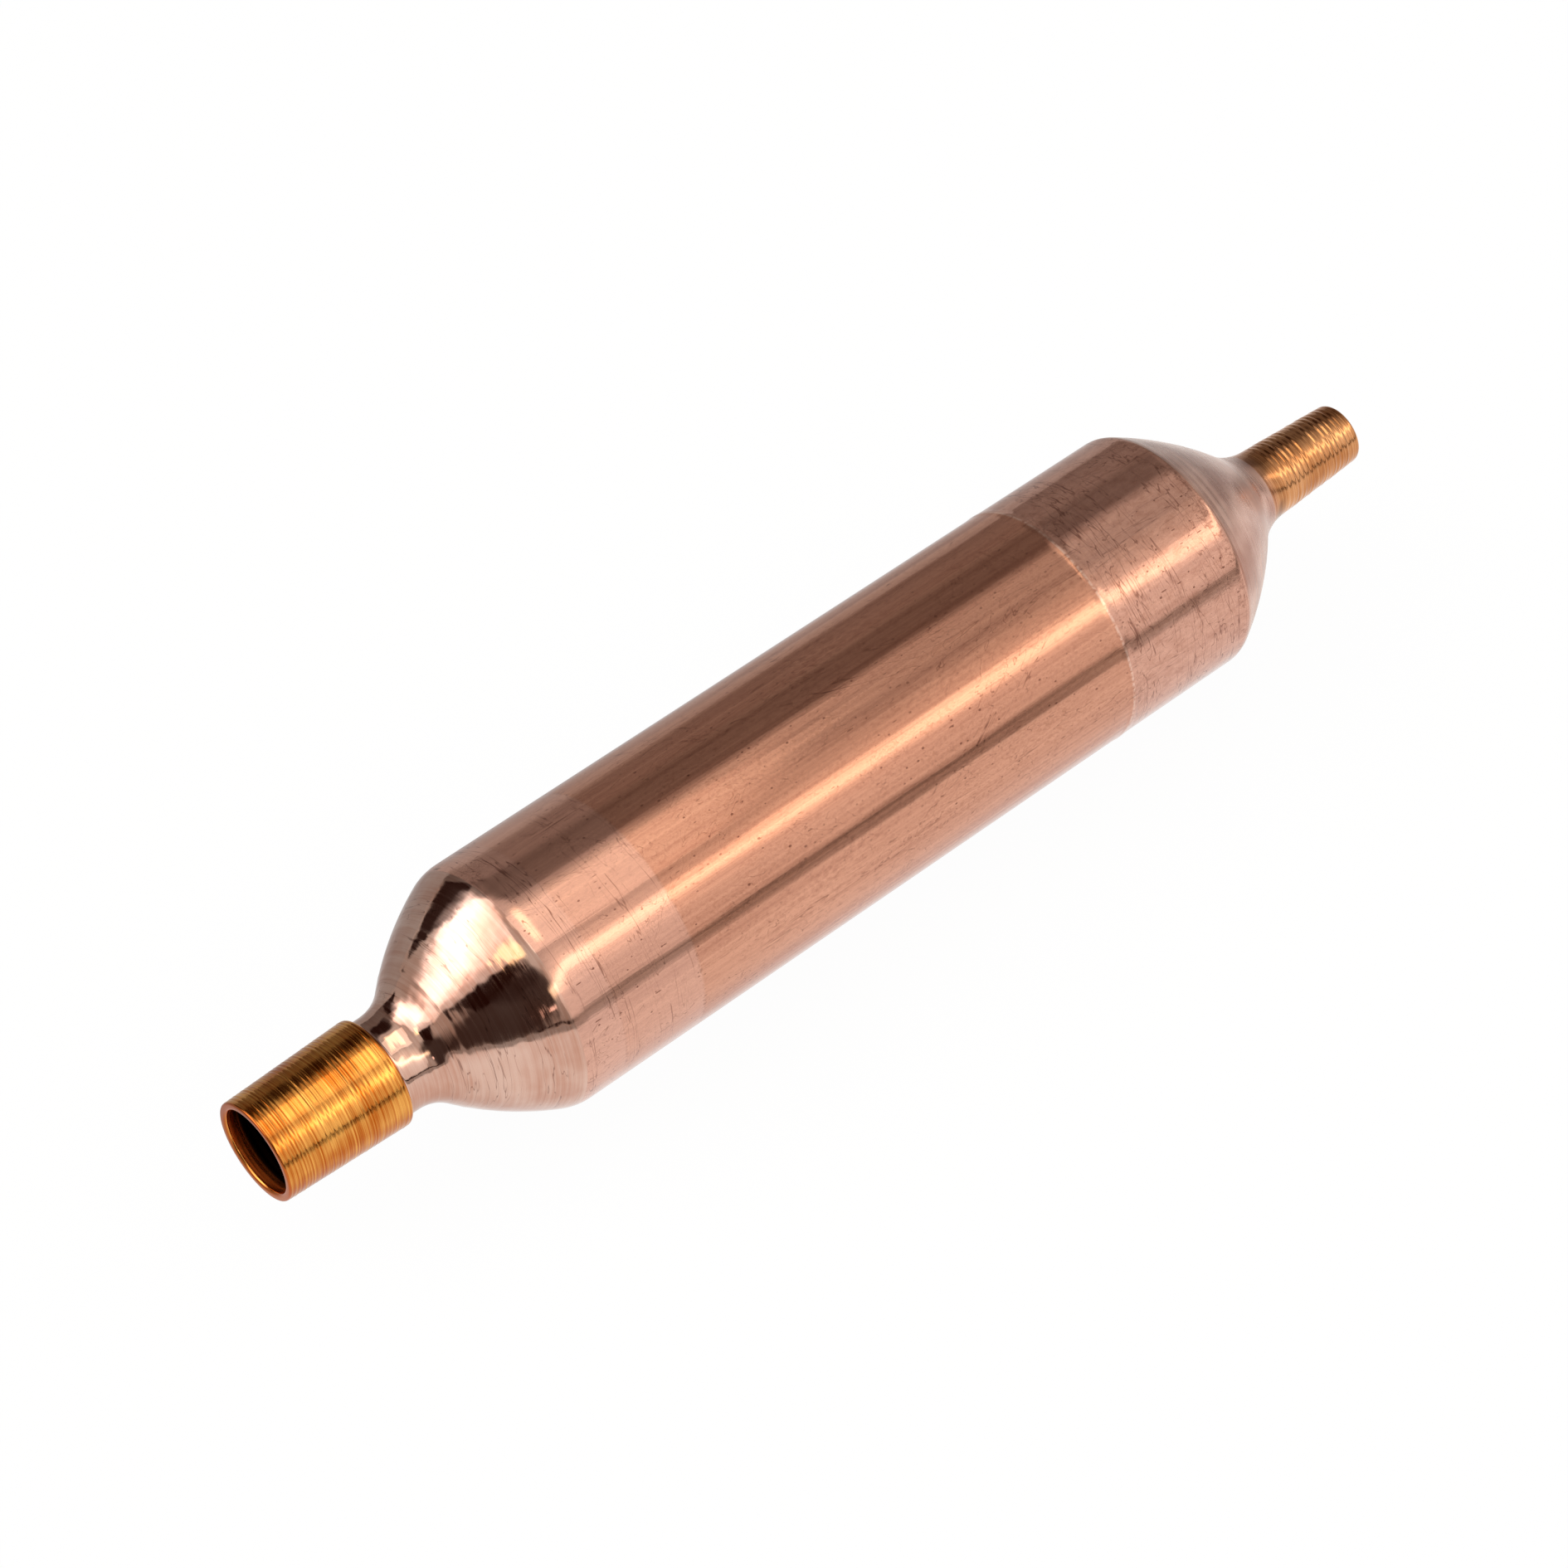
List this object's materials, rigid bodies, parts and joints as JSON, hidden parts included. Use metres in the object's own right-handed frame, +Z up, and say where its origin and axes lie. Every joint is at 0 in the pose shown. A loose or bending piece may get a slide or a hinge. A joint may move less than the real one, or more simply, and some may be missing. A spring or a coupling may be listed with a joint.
{
  "type": "filter drier",
  "caption": "Spun copper filter drier with a tube socket at the inlet, a capillary stub at the outlet, and desiccant beads held between two wire screens.",
  "frame": {"origin": "on the drier's axis, halfway between the inlet mouth and the outlet tip", "axes": "+X along the axis, from the inlet socket to the outlet stub, the way the refrigerant flows; +Z up; Y across"},
  "size_m": [0.101, 0.0192, 0.0192],
  "materials": {
    "drawn_copper": "satin drawn copper barrel, polished spun inlet shoulder, freshly turned ends",
    "hoop_brass": "pressed, satin",
    "screen_steel": "woven stainless wire, bright",
    "molecular_sieve": "matt, slightly dusty"
  },
  "bodies": {
    "root": {"spun_shell": "drawn_copper", "inlet_hoop": "hoop_brass", "inlet_screen": "screen_steel", "desiccant_beads": "molecular_sieve", "outlet_screen": "screen_steel", "outlet_hoop": "hoop_brass"}
  },
  "joints": []
}
